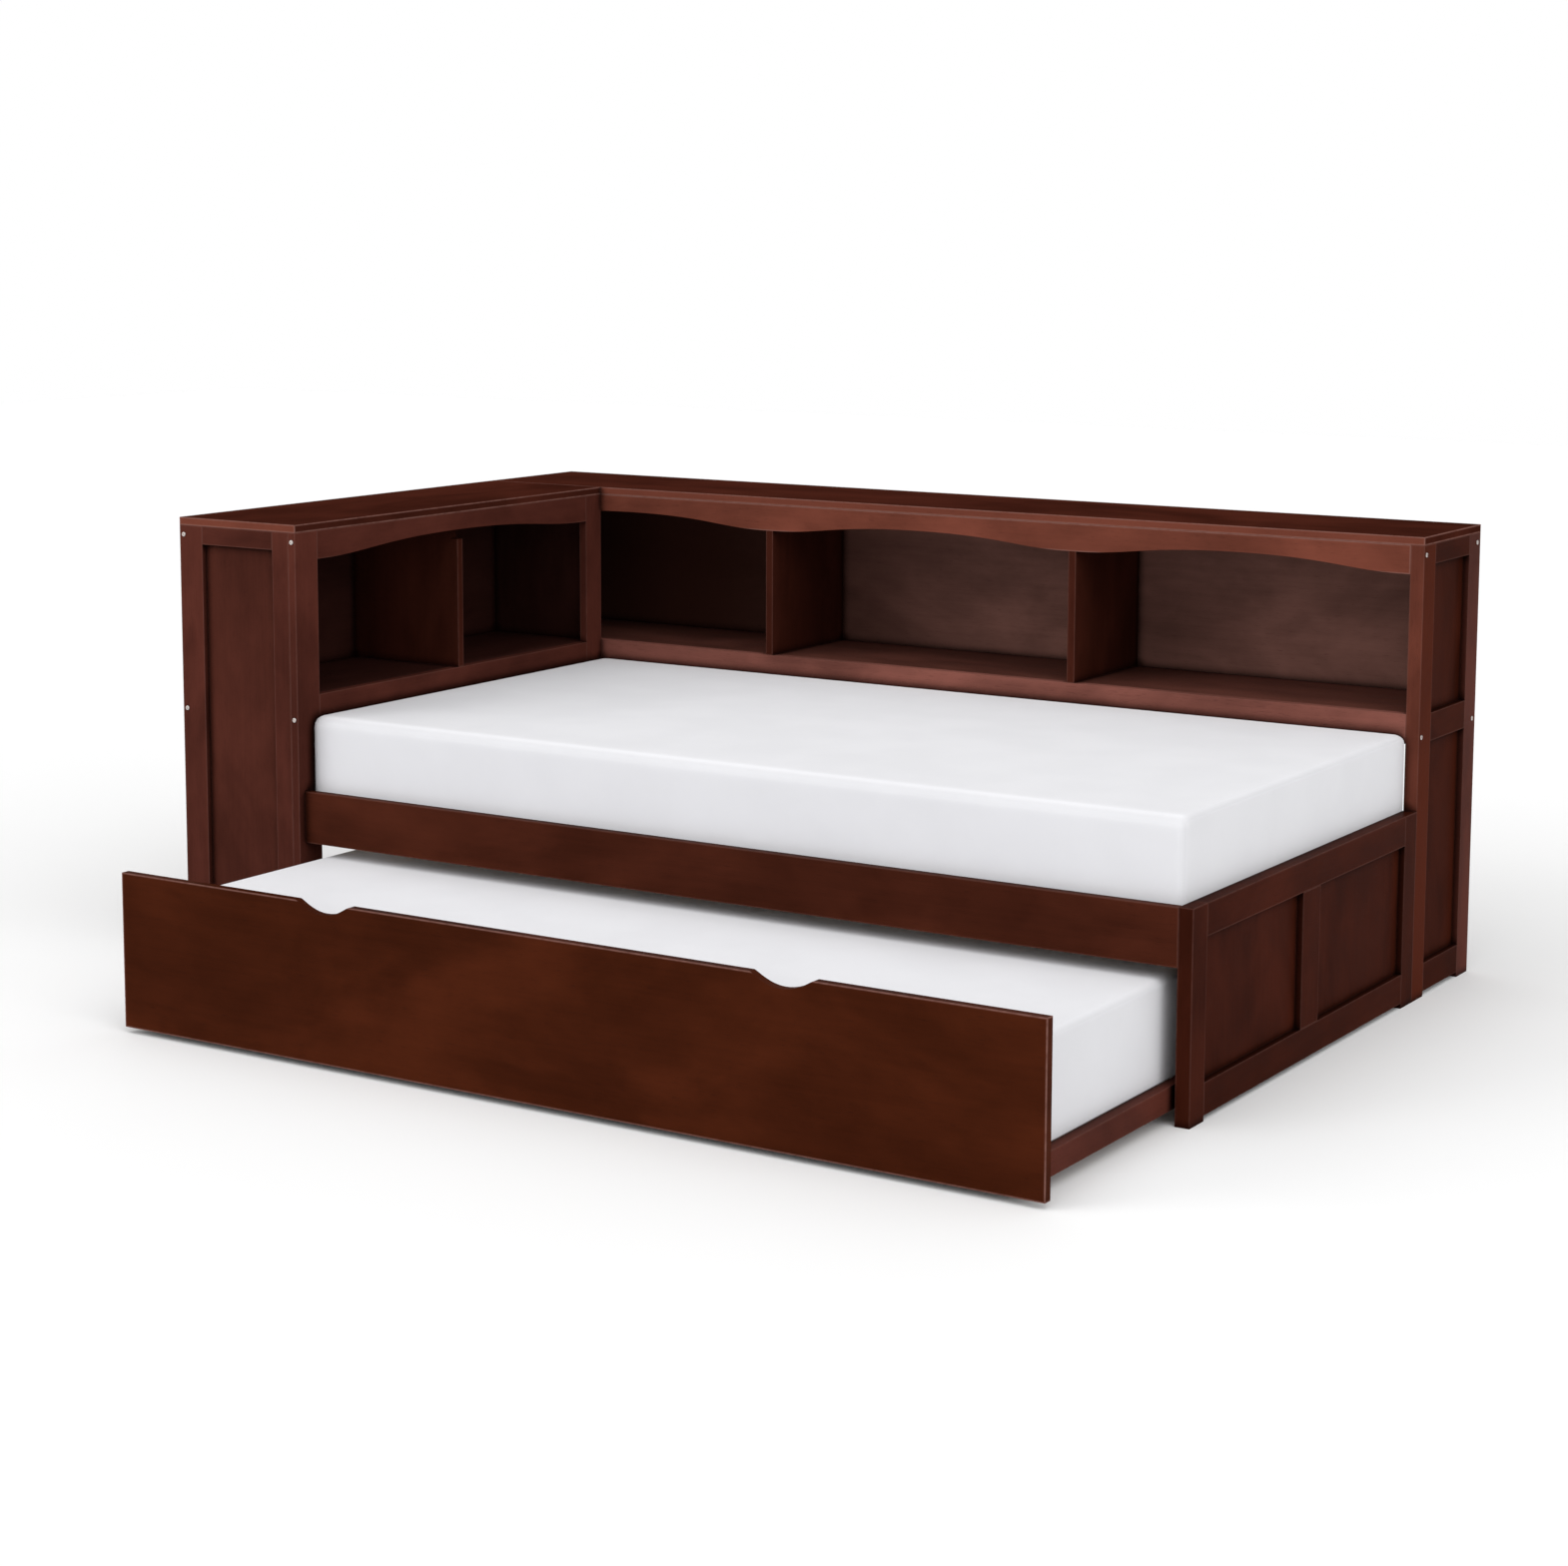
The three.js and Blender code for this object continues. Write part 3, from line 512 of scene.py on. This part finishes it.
def finish_boards():
    slots = {entry["node"]: entry["material_slot"] for entry in frame["record"]["subparts"]}
    slat_makers = {"bed_slats": "bed_slat_pine", "trundle_slats": "trundle_slat_pine"}
    zinc = brushed_metal("caster_zinc", CASTER_ZINC, 0.34)
    nylon = moulded_plastic("caster_nylon")
    for seed, (node, piece) in enumerate(sorted(NODES.items())):
        slot = slots[node]
        low, high = (Vector(corner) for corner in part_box(node))
        if slot.startswith("cherry"):
            grain = grain_axis(node, low, high)
            # these boards get a painted highlight along their edges
            bright = node in PAINTED_HIGHLIGHT_EDGES
            wear_and_highlight = PAINTED_EDGE_HIGHLIGHT if bright else EDGE_WEAR_AND_HIGHLIGHT
            width = PAINTED_EDGE_HIGHLIGHT_WIDTH if bright else EDGE_WEAR_AND_HIGHLIGHT_WIDTH
            tone = wood_tone(node, slot)
            assign(piece, stained_wood(f"{node}_wood", tone, grain, (low, high), seed, wear_and_highlight, width))
            ease_edges(piece, FRONT_EDGE_RADIUS if node == "trundle_front" else EDGE_RADIUS)
        elif slot == "pine_slat":
            assign(piece, bare_pine(slat_makers[node], Y, seed))
            ease_edges(piece, EDGE_RADIUS / 2)
        elif slot == "zinc_steel":
            assign(piece, zinc)
            ease_edges(piece, EDGE_RADIUS / 4)
        elif slot == "wheel_plastic":
            assign(piece, nylon)
            ease_edges(piece, EDGE_RADIUS / 4)


# ---------------------------------------------------------------- mattresses

def inside_box(place, low, high):
    return Vector(max(low[i], min(high[i], place[i])) for i in range(3))


def span_steps(low, high):
    """Positions from low to high, close together near both ends."""
    inner = [low + step for step in MATTRESS_EDGE_STEPS]
    outer = [high - step for step in reversed(MATTRESS_EDGE_STEPS)]
    length = outer[0] - inner[-1]
    count = max(1, round(length / MATTRESS_STEP))
    middle = [inner[-1] + length * i / count for i in range(1, count)]
    return inner + middle + outer


def round_off(bm, low, high, radius):
    """Draws a box's edges and corners in onto arcs of one radius."""
    centre = (low + high) / 2
    core = (high - low) / 2 - Vector((radius,) * 3)
    for vert in bm.verts:
        offset = vert.co - centre
        near = inside_box(offset, -core, core)
        out = offset - near
        if out.length > 0:
            vert.co = centre + near + out.normalized() * radius


def rounded_block(name, low, high, radius):
    """A closed box of even quads with its edges and corners rounded."""
    steps = [span_steps(low[axis], high[axis]) for axis in range(3)]
    bm = bmesh.new()
    made = {}

    def corner(i, j, k):
        key = (i, j, k)
        if key not in made:
            made[key] = bm.verts.new((steps[X][i], steps[Y][j], steps[Z][k]))
        return made[key]

    last = [len(s) - 1 for s in steps]
    for axis in range(3):
        u, v = (axis + 1) % 3, (axis + 2) % 3
        for end in (0, last[axis]):
            for a in range(last[u]):
                for b in range(last[v]):
                    ring = []
                    for du, dv in ((0, 0), (1, 0), (1, 1), (0, 1)):
                        index = [0, 0, 0]
                        index[axis], index[u], index[v] = end, a + du, b + dv
                        ring.append(corner(*index))
                    bm.faces.new(ring if end else reversed(ring))
    round_off(bm, low, high, radius)
    mesh = bpy.data.meshes.new(name)
    bm.to_mesh(mesh)
    bm.free()
    piece = bpy.data.objects.new(name, mesh)
    bpy.context.scene.collection.objects.link(piece)
    return piece


def swell(piece):
    """Lets the cover fill out under pressure, then keeps the shape."""
    group = piece.vertex_groups.new(name="held")
    bottom = min(v.co.z for v in piece.data.vertices)
    held = [v.index for v in piece.data.vertices if v.co.z < bottom + MATTRESS_HELD_BELOW]
    group.add(held, 1.0, "REPLACE")
    cloth = piece.modifiers.new("filling", "CLOTH")
    settings = cloth.settings
    settings.quality = 5
    settings.mass = 0.5
    settings.tension_stiffness = 25
    settings.compression_stiffness = 25
    settings.shear_stiffness = 15
    settings.bending_stiffness = 8
    settings.use_pressure = True
    settings.uniform_pressure_force = MATTRESS_PRESSURE
    settings.effector_weights.gravity = 0
    settings.vertex_group_mass = "held"
    cloth.point_cache.frame_start = 1
    cloth.point_cache.frame_end = CLOTH_FRAMES
    for number in range(1, CLOTH_FRAMES + 1):
        bpy.context.scene.frame_set(number)
    evaluated = piece.evaluated_get(bpy.context.evaluated_depsgraph_get())
    swollen = [v.co.copy() for v in evaluated.data.vertices]
    piece.modifiers.remove(cloth)
    piece.vertex_groups.clear()
    bpy.context.scene.frame_set(1)
    return swollen


def settle(piece, swollen, low, high):
    """Moves each point towards its swollen place, by no more than the cap, inside the box."""
    for vert, target in zip(piece.data.vertices, swollen):
        move = target - vert.co
        if move.length > MATTRESS_MOVE_CAP:
            move = move.normalized() * MATTRESS_MOVE_CAP
        vert.co = inside_box(vert.co + move, low, high)


def mattress(node, body, seed):
    low, high = (Vector(corner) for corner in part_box(node))
    low.x -= MATTRESS_ROOM_AT_ENDS
    high.x += MATTRESS_ROOM_AT_ENDS
    high.y += MATTRESS_ROOM_BEHIND
    inset = Vector((MATTRESS_START_INSET,) * 3)
    start, end = low + inset, high - inset
    start.x = low.x - MATTRESS_END_CUT
    end.x = high.x + MATTRESS_END_CUT
    end.y = high.y + MATTRESS_PRESSED_CUT
    start.z = low.z - MATTRESS_PRESSED_CUT
    piece = rounded_block(f"{node}_cover", start, end, MATTRESS_CORNER)
    for vert in piece.data.vertices:
        vert.co = inside_box(vert.co, low, high)
    settle(piece, swell(piece), low, high)
    for face in piece.data.polygons:
        face.use_smooth = True
    piece.modifiers.new("smooth", "SUBSURF").levels = 1
    piece.modifiers["smooth"].render_levels = 1
    assign(piece, mattress_knit(f"{node}_knit", seed))
    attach(piece, body)
    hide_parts(node)


# ---------------------------------------------------------------- bolts

def bolt_mesh():
    """A domed bolt head with a hexagonal socket, standing on z = 0."""
    bm = bmesh.new()
    outline = [
        (BOLT_RADIUS, 0.0),
        (BOLT_RADIUS, BOLT_HEIGHT * 0.45),
        (BOLT_RADIUS * 0.93, BOLT_HEIGHT * 0.80),
        (BOLT_RADIUS * 0.78, BOLT_HEIGHT),
        (BOLT_RADIUS * 0.60, BOLT_HEIGHT),
    ]
    rings = []
    for radius, height in outline:
        rings.append([
            bm.verts.new((radius * math.cos(a), radius * math.sin(a), height))
            for a in (2 * math.pi * i / BOLT_SIDES for i in range(BOLT_SIDES))
        ])

    def hexagon(height, size):
        ring = []
        for i in range(BOLT_SIDES):
            angle = 2 * math.pi * i / BOLT_SIDES
            within = (angle + math.pi / 6) % (math.pi / 3) - math.pi / 6
            radius = size / math.cos(within)
            ring.append(bm.verts.new((radius * math.cos(angle), radius * math.sin(angle), height)))
        return ring

    rings.append(hexagon(BOLT_HEIGHT, BOLT_SOCKET))
    rings.append(hexagon(BOLT_HEIGHT * 0.15, BOLT_SOCKET))
    for below, above in zip(rings, rings[1:]):
        for i in range(BOLT_SIDES):
            j = (i + 1) % BOLT_SIDES
            bm.faces.new((below[i], below[j], above[j], above[i]))
    bm.faces.new(rings[-1])
    bm.faces.new(list(reversed(rings[0])))
    mesh = bpy.data.meshes.new("connector_bolt")
    bm.to_mesh(mesh)
    bm.free()
    return mesh


def add_bolt(name, mesh, material, place, outward):
    piece = bpy.data.objects.new(name, mesh.copy())
    bpy.context.scene.collection.objects.link(piece)
    turn = Vector(outward).to_track_quat("Z", "Y").to_matrix().to_4x4()
    piece.matrix_world = Matrix.Translation(place) @ turn
    assign(piece, material)
    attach(piece, "bed")


def add_bolts():
    mesh = bolt_mesh()
    nickel = brushed_metal("bolt_nickel", BOLT_NICKEL, 0.32)
    for side, outward in (("left", -1), ("right", 1)):
        low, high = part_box(f"{side}_end_front_post")
        face = high[X] if outward > 0 else low[X]
        places = {"front": low[Y] + BOLT_NEAR_EDGE}
        low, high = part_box(f"{side}_end_rear_post")
        places["rear"] = high[Y] - BOLT_REAR_EDGE
        for place, y in places.items():
            for level, z in (("upper", BOLT_HIGH), ("lower", BOLT_LOW)):
                add_bolt(f"{side}_end_{place}_{level}_bolt", mesh, nickel, (face, y, z), (outward, 0, 0))
    for post, inset in (("side_outer_post", BOLT_NEAR_EDGE), ("side_front_stile", None)):
        low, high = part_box(post)
        x = low[X] + inset if inset else (low[X] + high[X]) / 2
        for level, z in (("upper", BOLT_HIGH), ("lower", BOLT_LOW)):
            add_bolt(f"{post}_{level}_bolt", mesh, nickel, (x, low[Y], z), (0, -1, 0))


# ---------------------------------------------------------------- studio

def add_floor():
    mesh = bpy.data.meshes.new("studio_floor")
    half = FLOOR_SIZE / 2
    corners = [(-half, -half, 0), (half, -half, 0), (half, half, 0), (-half, half, 0)]
    mesh.from_pydata(corners, [], [(0, 1, 2, 3)])
    floor = bpy.data.objects.new("studio_floor", mesh)
    bpy.context.scene.collection.objects.link(floor)
    assign(floor, studio_floor("pale_floor"))


def add_sun(name, azimuth, elevation, spread, strength):
    """A wide soft light from one side. Azimuth 0 comes from the front and 90 from the right."""
    light = bpy.data.lights.new(name, "SUN")
    light.angle = math.radians(spread)
    light.energy = strength
    lamp = bpy.data.objects.new(name, light)
    bpy.context.scene.collection.objects.link(lamp)
    a, e = math.radians(azimuth), math.radians(elevation)
    towards = Vector((math.sin(a) * math.cos(e), -math.cos(a) * math.cos(e), math.sin(e)))
    lamp.rotation_mode = "QUATERNION"
    lamp.rotation_quaternion = towards.to_track_quat("Z", "Y")


def add_lights():
    world = bpy.data.worlds.new("studio")
    world.use_nodes = True
    tree = world.node_tree
    ambient = tree.nodes["Background"]
    ambient.inputs["Color"].default_value = (1.0, 1.0, 1.0, 1.0)
    ambient.inputs["Strength"].default_value = AMBIENT
    backdrop = tree.nodes.new("ShaderNodeBackground")
    backdrop.inputs["Color"].default_value = (1.0, 1.0, 1.0, 1.0)
    chooser = tree.nodes.new("ShaderNodeMixShader")
    tree.links.new(tree.nodes.new("ShaderNodeLightPath").outputs["Is Camera Ray"], chooser.inputs[0])
    tree.links.new(ambient.outputs[0], chooser.inputs[1])
    tree.links.new(backdrop.outputs[0], chooser.inputs[2])
    tree.links.new(chooser.outputs[0], tree.nodes["World Output"].inputs["Surface"])
    bpy.context.scene.world = world
    for sun in SUNS:
        add_sun(*sun)


def add_camera():
    data = bpy.data.cameras.new("camera")
    data.lens = CAMERA_LENS
    data.sensor_width = CAMERA_SENSOR
    data.shift_y = CAMERA_SHIFT_Y
    camera = bpy.data.objects.new("camera", data)
    bpy.context.scene.collection.objects.link(camera)
    camera.location = CAMERA_PLACE
    turn = Matrix.Rotation(math.radians(CAMERA_TURN), 4, "Z")
    tilt = Matrix.Rotation(math.radians(90 - CAMERA_DOWN), 4, "X")
    roll = Matrix.Rotation(math.radians(CAMERA_ROLL), 4, "Z")
    camera.rotation_mode = "QUATERNION"
    camera.rotation_quaternion = (turn @ tilt @ roll).to_quaternion()
    bpy.context.scene.camera = camera


finish_boards()
mattress("mattress", "bed", 101)
mattress("trundle_mattress", "trundle", 102)
add_bolts()
add_floor()
add_lights()
add_camera()
bpy.context.scene.view_settings.view_transform = "Standard"
